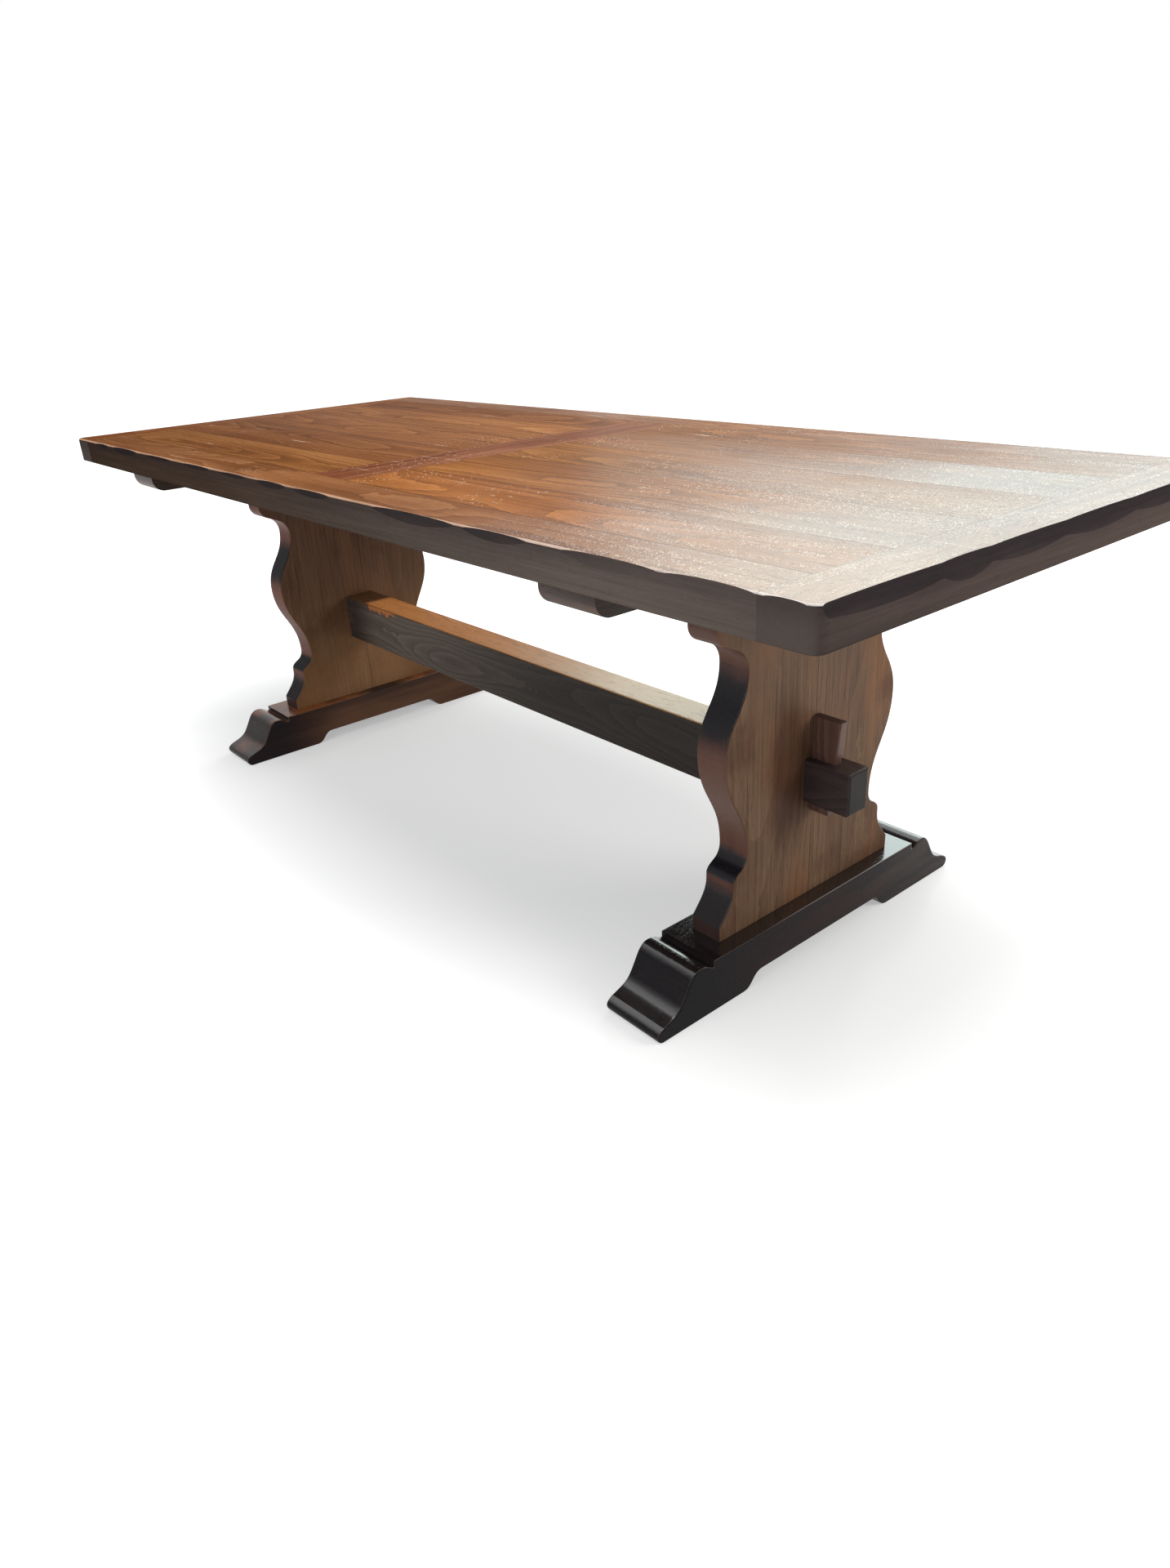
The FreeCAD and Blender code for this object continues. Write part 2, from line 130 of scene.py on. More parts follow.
class SawnOak(Finish):
    """Oak sawn along one axis: growth rings round a heart line, fibres and open pores.

    The shift says where in the log a piece was cut, so that no two pieces have the same figure.
    """

    ring_sway = 0.11
    wave_period = 0.314
    grain_depth = 0.0009

    def __init__(self, name, grain, shift, heart, ring_spacing, pore_length=0.018, pore_width=0.0009):
        super().__init__(bpy.data.materials.new(name))
        self.grain_axis = "XYZ".index(grain)
        coordinates = self.put("ShaderNodeTexCoord").outputs
        self.place = coordinates["Object"]
        self.x, self.y, self.z = self.put("ShaderNodeSeparateXYZ", {"Vector": self.place}).outputs
        facing = self.put("ShaderNodeSeparateXYZ", {"Vector": coordinates["Normal"]})
        self.facing_x, self.facing_y, self.facing_z = facing.outputs
        self.moved = self.put("ShaderNodeMapping", {"Vector": self.place, "Location": shift}).outputs[0]
        wander = {"Vector": self.drawn(along=0.9, across=2.4), "Scale": 1.3, "Detail": 2.0}
        wander = self.put("ShaderNodeTexNoise", wander).outputs["Color"]
        sway = {0: self.vector("SUBTRACT", wander, (0.5, 0.5, 0.5)), "Scale": self.ring_sway}
        sway = self.put("ShaderNodeVectorMath", sway, operation="SCALE").outputs[0]
        from_heart = self.vector("ADD", self.vector("SUBTRACT", self.place, heart), sway)
        rings = {"Vector": from_heart, "Scale": self.wave_period / ring_spacing,
                 "Distortion": 1.6, "Detail": 2.0, "Detail Scale": 1.2}
        self.rings = self.put("ShaderNodeTexWave", rings, wave_type="RINGS", rings_direction=grain,
                              wave_profile="SAW").outputs["Fac"]
        self.broad = self.noise(self.drawn(along=1.3, across=12.0), detail=4.0)
        self.fibre = self.noise(self.drawn(along=4.0, across=210.0))
        pores = self.noise(self.drawn(along=1 / pore_length, across=1 / pore_width), detail=2.0)
        self.pores = self.fade(pores, 0.60, 0.70)
        self.cloud = self.noise(self.moved, 5.0, 4.0)

    def drawn(self, along, across):
        """Place for a pattern that is drawn out along the grain, with its scales along and across it."""
        scale = [across] * 3
        scale[self.grain_axis] = along
        return self.put("ShaderNodeMapping", {"Vector": self.moved, "Scale": scale}).outputs[0]

    def grain(self, rings, broad, fibre):
        """One tone out of a share of the rings, of the broad streaks and of the fine fibres."""
        return self.plus(self.times(self.rings, rings), self.times(self.broad, broad),
                         self.times(self.fibre, fibre))

    def faces(self, facing, share=1.0):
        """Picks the faces that are turned square to one axis."""
        return self.fade(facing, 0.6, 0.95, 0.0, share)

    def turning(self, facing, low, high, fall=0.2):
        """Picks a rounded arris, where the surface turns from one face to the next."""
        slant = self.unsigned(facing)
        return self.times(self.fade(slant, low, low + 0.25), self.fade(slant, high, high - fall))

    def worn_arris(self, low=0.18, high=0.94):
        """Picks the arrises of the sides, rubbed in patches."""
        return self.times(self.turning(self.facing_x, low, high), self.fade(self.cloud, 0.38, 0.62))

    def relief(self, fibre_share=0.35, pore_share=0.6):
        """Raised fibres and sunken pores."""
        return self.minus(self.times(self.fibre, fibre_share), self.times(self.pores, pore_share))

    def varnish(self, node, colour, roughness, gloss, relief=None, depth=0.55, tint=(1.0, 1.0, 1.0, 1.0),
                coat=0.0, coat_roughness=0.2, coat_bend=1.5):
        """Brushes varnish over the stained oak of a piece, with the grain felt through it."""
        if relief is None:
            relief = self.relief()
        bump = self.put("ShaderNodeBump", {"Strength": depth, "Distance": self.grain_depth, "Height": relief})
        values = {"Base Color": colour, "Roughness": roughness, "Normal": bump.outputs[0],
                  "Specular IOR Level": gloss, "Specular Tint": tint,
                  "Coat Weight": coat, "Coat Roughness": coat_roughness, "Coat IOR": coat_bend,
                  "Coat Normal": bump.outputs[0]}
        surface = self.put("ShaderNodeBsdfPrincipled", values)
        self.put("ShaderNodeOutputMaterial", {"Surface": surface.outputs[0]})
        self.dress(node)


def paint(red, green, blue):
    """A colour as a paint card gives it, in 255 steps, turned into light."""
    steps = [value / 255 for value in (red, green, blue)]
    return tuple(v / 12.92 if v <= 0.04045 else ((v + 0.055) / 1.055) ** 2.4 for v in steps) + (1.0,)


def middle_of(node):
    low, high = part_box(node)
    return [(least + most) / 2 for least, most in zip(low, high)]


foot_stains = {"left": [(0.3, paint(29, 22, 22)), (0.52, paint(41, 31, 30)), (0.75, paint(55, 40, 36))],
               "right": [(0.3, paint(20, 18, 20)), (0.52, paint(29, 25, 26)), (0.75, paint(43, 34, 32))]}
foot_red, foot_red_share = paint(54, 32, 24), {"left": 0.7, "right": 0.3}
foot_rubbed, foot_rubbed_share = paint(122, 94, 74), {"left": 0.75, "right": 0.25}
foot_wax_share = {"left": 0.3, "right": 1.0}
foot_wax_tint = (0.8, 0.86, 1.0, 1.0)
kicked_brown, sunlit_orange = paint(104, 72, 52), paint(168, 100, 56)
smoked_black, smoked_red, scuffed_grey = paint(12, 10, 10), paint(56, 33, 27), paint(92, 80, 70)
shaded_top_black = paint(11, 9, 9)
for side, sign in sides:
    foot_heart = (middle_of(f"foot_{side}")[0] + 0.03, 0.0, -0.05)
    oak = SawnOak(f"foot_oak_{side}", "Y", shift=(3.1 * sign, 0.7, 1.9), heart=foot_heart,
                  ring_spacing=0.009)
    colour = oak.ramp(oak.grain(rings=0.08, broad=0.55, fibre=0.35), foot_stains[side])
    red_patch = oak.fade(oak.cloud, 0.5, 0.68, 0.0, foot_red_share[side])
    colour = oak.blend(red_patch, colour, foot_red)
    flat_top = oak.faces(oak.facing_z)
    right_face = oak.faces(oak.facing_x)
    if side == "left":
        kicked = oak.times(right_face, oak.fade(oak.y, -0.3, -0.08))
        kicked = oak.times(kicked, oak.fade(oak.broad, 0.35, 0.6, 0.24, 0.8))
        colour = oak.blend(kicked, colour, kicked_brown)
        # Orange patches on the left foot's flat tops are painted sunlight.
        sunlit_tops = oak.times(flat_top, oak.fade(oak.cloud, 0.4, 0.6), 0.7)
        colour = oak.blend(sunlit_tops, colour, sunlit_orange)
    else:
        smoked = oak.times(right_face, oak.fade(oak.y, -0.25, 0.05, 0.75, 0.3))
        colour = oak.blend(smoked, colour, smoked_black)
        behind_toe = oak.times(right_face, oak.fade(oak.y, -0.3, -0.05))
        red_streaks = oak.times(behind_toe, oak.fade(oak.broad, 0.4, 0.62, 0.0, 0.45))
        colour = oak.blend(red_streaks, colour, smoked_red)
        scuffed = oak.times(oak.fade(oak.y, 0.08, 0.3, 0.0, 0.4), oak.fade(oak.broad, 0.35, 0.6))
        colour = oak.blend(oak.times(behind_toe, scuffed), colour, scuffed_grey)
    rubbed = oak.times(oak.worn_arris(), foot_rubbed_share[side])
    colour = oak.blend(rubbed, colour, foot_rubbed)
    # The right foot's flat tops are darkened near black: painted shade.
    if side == "right":
        colour = oak.blend(oak.times(flat_top, 0.6), colour, shaded_top_black)
    waxed = oak.times(flat_top, foot_wax_share[side])
    oak.varnish(f"foot_{side}", colour, oak.uneven(oak.cloud, 0.15, 0.3), gloss=0.09, depth=0.16,
                tint=foot_wax_tint, coat=waxed, coat_roughness=0.15, coat_bend=2.1)

# Trestle panels
# Each panel is two upright oak boards glued at the centre line and sawn to a lyre outline.
# The faces keep a mid-brown stain with open pores; the sawn edges took the stain almost black, and their
# colour carries a painted reflection, bluish black where they turn up and paler where they turn down.
# Bare tongues join the two boards.
face_stains = [(0.22, paint(65, 47, 35)), (0.38, paint(96, 72, 55)),
               (0.54, paint(115, 90, 70)), (0.76, paint(142, 115, 91))]
edge_stains_and_reflections = [(0.2, paint(92, 72, 60)), (0.48, paint(70, 46, 36)),
               (0.62, paint(38, 27, 25)), (0.85, paint(22, 19, 23))]
pore_brown, streak_brown, warm_brown, patch_brown = (paint(42, 28, 20), paint(52, 34, 25), paint(132, 90, 60),
                                                     paint(68, 43, 31))
edge_red, edge_red_share = paint(112, 62, 46), {"left": 0.7, "right": 0.3}
edge_foot_black = paint(30, 23, 25)
low_light_gold, low_light_share = paint(158, 116, 78), {"left": 0.42, "right": 0.02}
high_shade_brown, low_brown, high_grey = paint(82, 56, 46), paint(60, 42, 30), paint(126, 106, 90)
wedge_shadow_place, wedge_shadow_stretch, wedge_shadow_brown = (0.767, -0.055, 0.335), (1.0, 1.6, 0.8), paint(64, 36, 25)
panel_rubbed = paint(134, 104, 82)
panel_seam_dark, panel_seam_width, panel_seam_brown = 0.0004, 0.0011, paint(30, 21, 17)
panel_gloss = {"left": 0.04, "right": 0.08}
panel_coat_share = {"left": 0.02, "right": 0.16}
tongue_shades = [(0.3, paint(150, 112, 74)), (0.7, paint(186, 148, 104))]


def bare_tongues(node, name, grain, shift, heart):
    """Loose tongues, left unstained for the glue."""
    oak = SawnOak(name, grain, shift, heart, ring_spacing=0.006)
    colour = oak.ramp(oak.grain(rings=0.3, broad=0.4, fibre=0.3), tongue_shades)
    oak.varnish(node, colour, oak.uneven(oak.fibre, 0.6, 0.75), gloss=0.3)


for side, sign in sides:
    for board, board_sign in (("front", -1), ("back", 1)):
        node = f"panel_{side}_{board}_board"
        panel_heart = (middle_of(node)[0] - 0.06 * sign, 0.13 * board_sign, 0.0)
        oak = SawnOak(f"panel_oak_{side}_{board}", "Z", shift=(1.7 * sign, 2.3 * board_sign, 0.4),
                      heart=panel_heart, ring_spacing=0.011, pore_length=0.035, pore_width=0.0019)
        face = oak.ramp(oak.grain(rings=0.12, broad=0.38, fibre=0.42), face_stains)
        face = oak.blend(oak.times(oak.pores, 0.42), face, pore_brown)
        streaks = oak.noise(oak.drawn(along=2.4, across=95), detail=4.0, roughness=0.65)
        face = oak.blend(oak.fade(streaks, 0.58, 0.72, 0.0, 0.75), face, streak_brown)
        warmed = oak.noise(oak.drawn(along=4, across=9), detail=4.0)
        face = oak.blend(oak.fade(warmed, 0.46, 0.66, 0.0, 0.55), face, warm_brown)
        patches = oak.noise(oak.moved, 5.2, 4.0)
        face = oak.blend(oak.fade(patches, 0.48, 0.66, 0.0, 0.55), face, patch_brown)
        # Paler and golden towards the foot, mostly on the left panel: painted light.
        face = oak.blend(oak.fade(oak.z, 0.45, 0.15, 0.0, low_light_share[side]), face, low_light_gold)
        if side == "left":
            # The left panel darkens towards the top: painted shade of the table top.
            face = oak.blend(oak.fade(oak.z, 0.25, 0.45, 0.1, 0.45), face, high_shade_brown)
        else:
            face = oak.blend(oak.fade(oak.z, 0.2, 0.4, 0.2, 0.0), face, low_brown)
            face = oak.blend(oak.fade(oak.z, 0.4, 0.6, 0.0, 0.25), face, high_grey)
            # Dark reddish patch beside the wedge and tenon: painted shadow of the wedge.
            from_wedge_shadow = oak.vector("MULTIPLY", oak.vector("SUBTRACT", oak.place, wedge_shadow_place), wedge_shadow_stretch)
            from_wedge_shadow = oak.plus(oak.length(from_wedge_shadow), oak.uneven(oak.broad, -0.03, 0.03))
            face = oak.blend(oak.fade(from_wedge_shadow, 0.05, 0.14, 0.7, 0.0), face, wedge_shadow_brown)
        # Edge colour by which way it faces: dark stain with a painted reflection, bluish black upwards, paler
        # downwards.
        lean = oak.plus(oak.facing_z, oak.uneven(oak.broad, -0.12, 0.12))
        edge = oak.ramp(oak.fade(lean, -0.75, 0.75), edge_stains_and_reflections)
        reddened = oak.fade(oak.z, 0.2, 0.12, edge_red_share[side], 0.0)
        edge = oak.blend(oak.times(reddened, oak.fade(lean, 0.35, 0.05)), edge, edge_red)
        edge = oak.blend(oak.fade(oak.z, 0.2, 0.12, 0.0, 0.6), edge, edge_foot_black)
        square_on = oak.unsigned(oak.facing_x)
        colour = oak.blend(oak.fade(square_on, 0.72, 0.97), edge, face)
        colour = oak.blend(oak.times(oak.worn_arris(low=0.3, high=0.97), 0.55), colour, panel_rubbed)
        seam = oak.fade(oak.unsigned(oak.y), panel_seam_dark, panel_seam_width, 0.6, 0.0)
        colour = oak.blend(seam, colour, panel_seam_brown)
        sawn_edge = oak.fade(square_on, 0.97, 0.72)
        roughness = oak.minus(oak.uneven(oak.broad, 0.42, 0.55), oak.times(sawn_edge, 0.1))
        oak.varnish(node, colour, roughness, gloss=panel_gloss[side],
                    coat=oak.times(sawn_edge, panel_coat_share[side]))
    bare_tongues(f"panel_tongues_{side}", f"panel_tongue_oak_{side}", "Z", shift=(0.3, 0.9, 1.4),
                 heart=(0.7 * sign, 0.2, 0.0))

# Bearers
# A dark oak bar with rounded ends lies across the head of each panel, under the top.
# It is housed on the panel's stub tenons and screwed up into the planks and rails.
bearer_stains = [(0.25, paint(34, 24, 20)), (0.55, paint(54, 39, 32)), (0.8, paint(72, 51, 40))]
bearer_rubbed = paint(108, 82, 66)
for side, sign in sides:
    bearer_heart = (middle_of(f"bearer_{side}")[0], 0.0, 0.60)
    oak = SawnOak(f"bearer_oak_{side}", "Y", shift=(2.2 * sign, 1.1, 0.6), heart=bearer_heart,
                  ring_spacing=0.008)
    colour = oak.ramp(oak.grain(rings=0.3, broad=0.45, fibre=0.3), bearer_stains)
    rubbed = oak.turning(oak.facing_z, low=0.2, high=0.97, fall=0.22)
    rubbed = oak.times(rubbed, oak.fade(oak.cloud, 0.4, 0.6, 0.0, 0.5))
    colour = oak.blend(rubbed, colour, bearer_rubbed)
    oak.varnish(f"bearer_{side}", colour, oak.uneven(oak.cloud, 0.36, 0.5), gloss=0.2)

# Stretcher
# One oak rail joins the two trestles, with a shouldered tenon through each panel.
# Its upper face is worn oak with painted sunlight in orange, paler to the right with painted glare and dark
# at the left end with painted shadow; its sides are stained grey-brown and darkened at the left end with
# painted shade, its tenons almost black.
stretcher_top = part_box("stretcher")[1][2]
chip_from, chip_to = stretcher_top - 0.014, stretcher_top - 0.010
flank_stains = [(0.2, paint(52, 45, 40)), (0.5, paint(84, 74, 66)), (0.8, paint(116, 103, 92))]
smoked_stains = [(0.2, paint(11, 9, 9)), (0.8, paint(29, 24, 22))]
upper_stains_and_sunlight = [(0.25, paint(206, 122, 63)), (0.5, paint(244, 156, 88)), (0.8, paint(254, 188, 124))]
tenon_stains = [(0.3, paint(42, 34, 34)), (0.7, paint(62, 49, 48))]
upper_pore, upper_glare_pale, upper_scuffed = paint(128, 80, 46), paint(250, 222, 174), paint(190, 130, 74)
upper_left_shadow, flank_left_shade = paint(46, 36, 31), paint(38, 29, 26)
chip_sunlit_orange, stretcher_rubbed, end_grain_black = paint(186, 112, 58), paint(112, 78, 56), paint(27, 26, 24)
oak = SawnOak("stretcher_oak", "X", shift=(0.4, 1.3, 2.2), heart=(0.0, 0.03, 0.31), ring_spacing=0.0055)
tone = oak.grain(rings=0.24, broad=0.42, fibre=0.34)
# The orange of the upper face is worn oak with painted sunlight on it.
upper = oak.ramp(tone, upper_stains_and_sunlight)
upper = oak.blend(oak.times(oak.pores, 0.3), upper, upper_pore)
# Paler towards the right end: painted glare.
upper = oak.blend(oak.fade(oak.x, -0.25, 0.5, 0.0, 0.8), upper, upper_glare_pale)
scuffs = oak.noise(oak.drawn(along=30, across=160))
upper = oak.blend(oak.fade(scuffs, 0.5, 0.7, 0.0, 0.45), upper, upper_scuffed)
# Dark at the left end of the upper face: painted shadow of the table top.
upper = oak.blend(oak.fade(oak.x, -0.62, -0.59, 0.9, 0.0), upper, upper_left_shadow)
flank = oak.ramp(tone, flank_stains)
flank = oak.blend(oak.fade(oak.x, -0.45, 0.2, 0.0, 0.8), flank, oak.ramp(tone, smoked_stains))
# Dark at the left end of the side, by the joint: painted shade.
flank = oak.blend(oak.fade(oak.x, -0.68, -0.56, 0.7, 0.0), flank, flank_left_shade)
# A chipped strip under the front arris, in the orange of the painted sunlight.
chipped_stretch = oak.times(oak.fade(oak.x, -0.60, -0.59), oak.fade(oak.x, -0.46, -0.49))
chip_line = oak.plus(oak.z, oak.uneven(oak.noise(oak.moved, 60.0), -0.006, 0.006))
chip_line = oak.fade(chip_line, chip_from, chip_to, 0.0, 0.8)
flank = oak.blend(oak.times(chipped_stretch, chip_line), flank, chip_sunlit_orange)
upper_face = oak.fade(oak.facing_z, 0.55, 0.9)
colour = oak.blend(upper_face, flank, upper)
rubbed = oak.turning(oak.facing_z, low=0.2, high=0.9)
rubbed = oak.times(rubbed, oak.fade(oak.cloud, 0.3, 0.6, 0.1, 0.6))
colour = oak.blend(rubbed, colour, stretcher_rubbed)
tenon = oak.fade(oak.unsigned(oak.x), 0.745, 0.765)
colour = oak.blend(tenon, colour, oak.ramp(tone, tenon_stains))
colour = oak.blend(oak.faces(oak.unsigned(oak.facing_x), 0.8), colour, end_grain_black)
oak.varnish("stretcher", colour, oak.uneven(oak.broad, 0.38, 0.52), gloss=0.1, depth=0.35,
            coat=oak.times(upper_face, oak.fade(oak.x, -0.3, 0.5, 0.0, 0.74)), coat_roughness=0.25)

# Tusk wedges
# A tapered oak wedge drops through each tenon and draws the trestle tight on the stretcher.
# It is split from straight oak, stained red-brown, with rubbed arrises, and its top face is darkened with
# painted shade.
wedge_stains = [(0.25, paint(62, 43, 37)), (0.5, paint(81, 57, 49)), (0.75, paint(100, 73, 62))]
shaded_head_dark, wedge_rubbed = paint(32, 23, 21), paint(120, 88, 68)
for side, sign in sides:
    wedge_heart = (0.78 * sign, 0.05, 0.3)
    oak = SawnOak(f"wedge_oak_{side}", "Z", shift=(4.2 * sign, 0.8, 0.5), heart=wedge_heart,
                  ring_spacing=0.005)
    colour = oak.ramp(oak.grain(rings=0.35, broad=0.4, fibre=0.3), wedge_stains)
    # The top face is darkened: painted shade.
    colour = oak.blend(oak.faces(oak.facing_z, 0.5), colour, shaded_head_dark)
    colour = oak.blend(oak.times(oak.worn_arris(), 0.5), colour, wedge_rubbed)
    oak.varnish(f"wedge_{side}", colour, oak.uneven(oak.cloud, 0.34, 0.48), gloss=0.25)

# Table top
# Ten oak planks lie in two fields framed by two side rails, a middle rail and two end boards.
# The face is varnished orange-brown; the edges are stained almost black and hewn along the arris, with a
# painted bluish reflection in the scoops.
# The right end is worn and polished, with painted grey glare, painted glints along the grain and a painted
# highlight on the arris, and with crumbs and scratches; bare tongues join the planks.
top_face = cad_bounds[1][2]
tint_places = (0.32, 0.47, 0.58, 0.74)
top_pore, top_stain, left_shade = paint(84, 46, 24), paint(112, 62, 34), paint(66, 44, 32)
glare_grey, front_pale, hairline_brown = paint(121, 119, 115), paint(196, 164, 138), paint(84, 66, 54)
glint_white, crumb_white, scratch_white = paint(238, 232, 222), paint(232, 220, 204), paint(226, 200, 172)
left_edge_stains = [(0.3, paint(56, 43, 35)), (0.55, paint(70, 56, 47)), (0.8, paint(85, 69, 59))]
right_edge_stains = [(0.3, paint(83, 73, 68)), (0.55, paint(99, 88, 82)), (0.8, paint(115, 103, 96))]
end_edge_stains = [(0.3, paint(68, 59, 56)), (0.55, paint(83, 72, 68)), (0.8, paint(98, 86, 81))]
cross_cut_grey, hewn_black_and_reflection = paint(90, 81, 76), paint(29, 28, 36)
arris_brown, arris_highlight_white = paint(192, 152, 124), paint(240, 232, 226)
top_seam_dark, top_seam_width, top_seam_brown = 0.0006, 0.0016, paint(52, 28, 16)
edge_dark_from, edge_dark_to = top_face - 0.035, top_face - 0.006


def scattered(oak, scale, size, share):
    """Small grains strewn over the face: how many to the metre, how wide, and which share of them."""
    grains = oak.put("ShaderNodeTexVoronoi", {"Vector": oak.moved, "Scale": scale}).outputs
    return oak.times(oak.fade(grains["Distance"], *size), oak.fade(grains["Color"], *share))


def worn_face(oak, tints, stain, polish_and_glare, front_wear):
    """Stained and varnished face, with the marks of use on it, and with painted glare and glints where it is
    polished.
    """
    face = oak.ramp(oak.grain(rings=0.2, broad=0.6, fibre=0.3), list(zip(tint_places, tints)))
    face = oak.blend(oak.times(oak.pores, 0.5), face, top_pore)
    face = oak.blend(oak.fade(stain, 0.5, 0.75, 0.0, 0.35), face, top_stain)
    face = oak.blend(oak.fade(oak.x, -1.2, 0.3, 0.27, 0.0), face, left_shade)
    # Grey wash over the polished end: painted glare.
    face = oak.blend(oak.times(oak.calc("POWER", polish_and_glare, 2.0), 0.55), face, glare_grey)
    face = oak.blend(oak.times(front_wear, 0.36), face, front_pale)
    streaks = oak.fade(oak.noise(oak.drawn(along=3, across=55)), 0.42, 0.62, 0.15, 0.85)
    # White specks along the grain on the polished end: painted glints.
    glints = scattered(oak, scale=400.0, size=(0.42, 0.28), share=(0.5, 0.6))
    glints = oak.times(glints, streaks, oak.fade(polish_and_glare, 0.03, 0.5))
    face = oak.blend(glints, face, glint_white)
    strewn = oak.fade(oak.noise(oak.moved, 3.3, 2.0), 0.5, 0.62)
    littered = oak.times(strewn, oak.fade(oak.x, -0.5, 0.0, 0.2, 1.0))
    crumbs = scattered(oak, scale=190.0, size=(0.3, 0.2), share=(0.72, 0.76))
    face = oak.blend(oak.times(crumbs, littered), face, crumb_white)
    scratches = {"Vector": oak.moved, "Scale": (7, 210, 210), "Rotation": (0, 0, 0.03)}
    scratches = oak.noise(oak.put("ShaderNodeMapping", scratches).outputs[0], detail=1.0)
    scratches = oak.times(oak.fade(scratches, 0.68, 0.76), strewn, 0.5)
    face = oak.blend(scratches, face, scratch_white)
    hairlines = oak.fade(oak.noise(oak.drawn(along=4, across=130)), 0.6, 0.7, 0.0, 0.5)
    return oak.blend(oak.times(hairlines, oak.fade(polish_and_glare, 0.02, 0.3)), face, hairline_brown)


def hewn_edge(oak, grain):
    """Dark edge of a board, darkest in the scoops and along its upper part, where the stain carries a painted
    bluish reflection.
    """
    tone = oak.plus(oak.times(oak.broad, 0.6), oak.times(oak.fibre, 0.4))
    front_or_back = oak.unsigned(oak.facing_y)
    if grain == "X":
        edge = oak.blend(oak.fade(oak.x, -0.5, 0.9), oak.ramp(tone, left_edge_stains),
                         oak.ramp(tone, right_edge_stains))
    else:
        cut_across = oak.fade(front_or_back, 0.5, 0.9, 0.0, 0.7)
        edge = oak.blend(cut_across, oak.ramp(tone, end_edge_stains), cross_cut_grey)
    # Scoops turned part way up are darkened bluish black: stain with a painted reflection.
    scooped = oak.times(oak.fade(oak.facing_z, 0.05, 0.2), oak.fade(oak.facing_z, 0.7, 0.45))
    paler_right = oak.times(oak.fade(front_or_back, 0.5, 0.9), oak.fade(oak.x, 0.5, 0.95))
    scooped = oak.times(scooped, oak.fade(paler_right, 0.0, 1.0, 0.42, 0.08))
    ragged_height = oak.plus(oak.z, oak.uneven(oak.cloud, -0.006, 0.006))
    upper_part = oak.fade(ragged_height, edge_dark_from, edge_dark_to, 0.0, 0.26)
    return oak.blend(oak.plus(upper_part, scooped), edge, hewn_black_and_reflection)


def top_board(name, grain, shift, heart, tints, rubbed_to=0.0):
    """One board of the top: its worn face, its hewn edge, and a dark seam along its own sides."""
    oak = SawnOak(name, grain, shift, heart, ring_spacing=0.0085)
    stain = oak.noise(oak.moved, 2.2)
    reach = oak.plus(oak.x, oak.uneven(stain, rubbed_to - 0.08, rubbed_to + 0.08))
    reach = oak.minus(reach, oak.times(oak.calc("POWER", oak.y, 2.0), 0.3))
    # How far the end is polished: it sets the varnish coat and the painted glare, glints and arris highlight.
    polish_and_glare = oak.calc("POWER", oak.fade(reach, -0.3, 1.15), 3.0)
    front_wear = oak.times(oak.fade(oak.y, -0.1, -0.36), oak.fade(reach, 0.55, 0.95))
    up = oak.facing_z
    ragged = oak.plus(up, oak.uneven(oak.cloud, -0.06, 0.06))
    face = worn_face(oak, tints, stain, polish_and_glare, front_wear)
    colour = oak.blend(oak.fade(ragged, 0.66, 0.9), hewn_edge(oak, grain), face)
    arris = oak.times(oak.fade(ragged, 0.4, 0.62), oak.fade(up, 0.99, 0.93))
    arris = oak.times(arris, oak.fade(oak.cloud, 0.3, 0.6, 0.5, 1.0))
    # The worn arris line turns white where the end is polished: painted highlight.
    colour = oak.blend(arris, colour, oak.blend(polish_and_glare, arris_brown, arris_highlight_white))
    low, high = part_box(name)
    across, spot = (1, oak.y) if grain == "X" else (0, oak.x)
    middle, half_width = (low[across] + high[across]) / 2, (high[across] - low[across]) / 2
    from_side = oak.minus(half_width, oak.unsigned(oak.minus(spot, middle)))
    level = oak.fade(up, 0.5, 0.9)
    seam = oak.times(oak.fade(from_side, top_seam_dark, top_seam_width, 1.0, 0.0), level)
    seam = oak.times(seam, oak.fade(oak.broad, 0.3, 0.6, 0.35, 0.9))
    colour = oak.blend(seam, colour, top_seam_brown)
    fine_dents = oak.times(oak.noise(oak.moved, 420.0), oak.fade(polish_and_glare, 0.0, 0.5, 0.25, 0.9))
    haze = oak.plus(oak.fade(oak.y, -0.35, 0.05, 0.01, 0.112), oak.fade(reach, -0.1, 0.45, 0.0, 0.06))
    back_left_haze = oak.times(oak.fade(oak.y, 0.37, 0.43, 0.0, 0.12), oak.fade(oak.x, 0.2, -0.3))
    coat = oak.plus(oak.times(polish_and_glare, 0.76), oak.times(front_wear, 0.08), haze, back_left_haze)
    oak.varnish(name, colour, oak.uneven(oak.broad, 0.36, 0.5), gloss=0.0,
                relief=oak.plus(oak.relief(fibre_share=0.3, pore_share=0.7), fine_dents),
                coat=oak.times(level, coat), coat_roughness=0.29)


plank_shades = [((84, 46, 24), (113, 66, 36), (132, 80, 46), (156, 100, 62)),
                ((92, 52, 28), (121, 73, 41), (141, 88, 51), (164, 108, 67)),
                ((78, 42, 23), (107, 62, 35), (126, 76, 45), (149, 94, 59))]
plank_paleness = {"left": (1.0, 1.02, 1.06, 1.08, 1.06), "right": (1.18, 1.06, 1.0, 1.06, 1.02)}
plank_rub = {"left": (0.0, 0.0, 0.0, 0.0, 0.0), "right": (-0.02, 0.05, -0.01, 0.08, -0.03)}
plank_cast = {"left": (0.985, 1.02, 1.0), "right": (0.99, 1.015, 0.87)}
rail_tints = (paint(92, 55, 32), paint(118, 74, 44), paint(134, 87, 54), paint(155, 107, 70))
middle_tints = (paint(92, 51, 33), paint(117, 69, 46), paint(133, 83, 57), paint(153, 102, 74))
